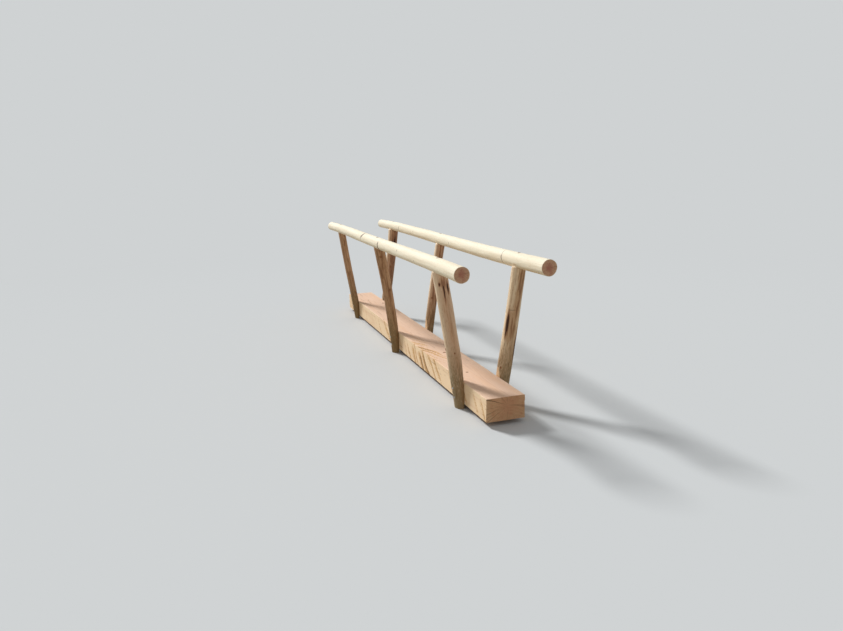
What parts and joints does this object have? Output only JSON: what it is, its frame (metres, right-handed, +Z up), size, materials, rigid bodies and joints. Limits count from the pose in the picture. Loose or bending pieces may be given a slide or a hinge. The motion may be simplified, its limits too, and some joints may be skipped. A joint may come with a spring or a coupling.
{
  "type": "narrow wooden log footbridge",
  "caption": "Narrow rustic footbridge: one squared timber baulk to walk on, splayed round posts fixed to its sides and round log handrails along both sides.",
  "frame": {"origin": "on the floor under the middle of the handrails", "axes": "+Y along the span towards the far bank, +X towards the right-hand rail, +Z up"},
  "size_m": [0.7902, 4.538, 1.1934],
  "materials": {
    "sawn_baulk": "fresh sawn softwood",
    "peeled_rail": "peeled log, dry and pale",
    "peeled_post": "peeled log with bark remains",
    "zinc_fixing": "hot-dip galvanised"
  },
  "bodies": {
    "root": {"deck_baulk": "sawn_baulk", "left_rail": "peeled_rail", "right_rail": "peeled_rail", "near_left_post": "peeled_post", "near_left_coach_screws": "zinc_fixing", "near_left_coach_washers": "zinc_fixing", "near_left_rail_screw": "zinc_fixing", "near_left_rail_washer": "zinc_fixing", "middle_left_post": "peeled_post", "middle_left_coach_screws": "zinc_fixing", "middle_left_coach_washers": "zinc_fixing", "middle_left_rail_screw": "zinc_fixing", "middle_left_rail_washer": "zinc_fixing", "far_left_post": "peeled_post", "far_left_coach_screws": "zinc_fixing", "far_left_coach_washers": "zinc_fixing", "far_left_rail_screw": "zinc_fixing", "far_left_rail_washer": "zinc_fixing", "near_right_post": "peeled_post", "near_right_coach_screws": "zinc_fixing", "near_right_coach_washers": "zinc_fixing", "near_right_rail_screw": "zinc_fixing", "near_right_rail_washer": "zinc_fixing", "middle_right_post": "peeled_post", "middle_right_coach_screws": "zinc_fixing", "middle_right_coach_washers": "zinc_fixing", "middle_right_rail_screw": "zinc_fixing", "middle_right_rail_washer": "zinc_fixing", "far_right_post": "peeled_post", "far_right_coach_screws": "zinc_fixing", "far_right_coach_washers": "zinc_fixing", "far_right_rail_screw": "zinc_fixing", "far_right_rail_washer": "zinc_fixing"}
  },
  "joints": []
}
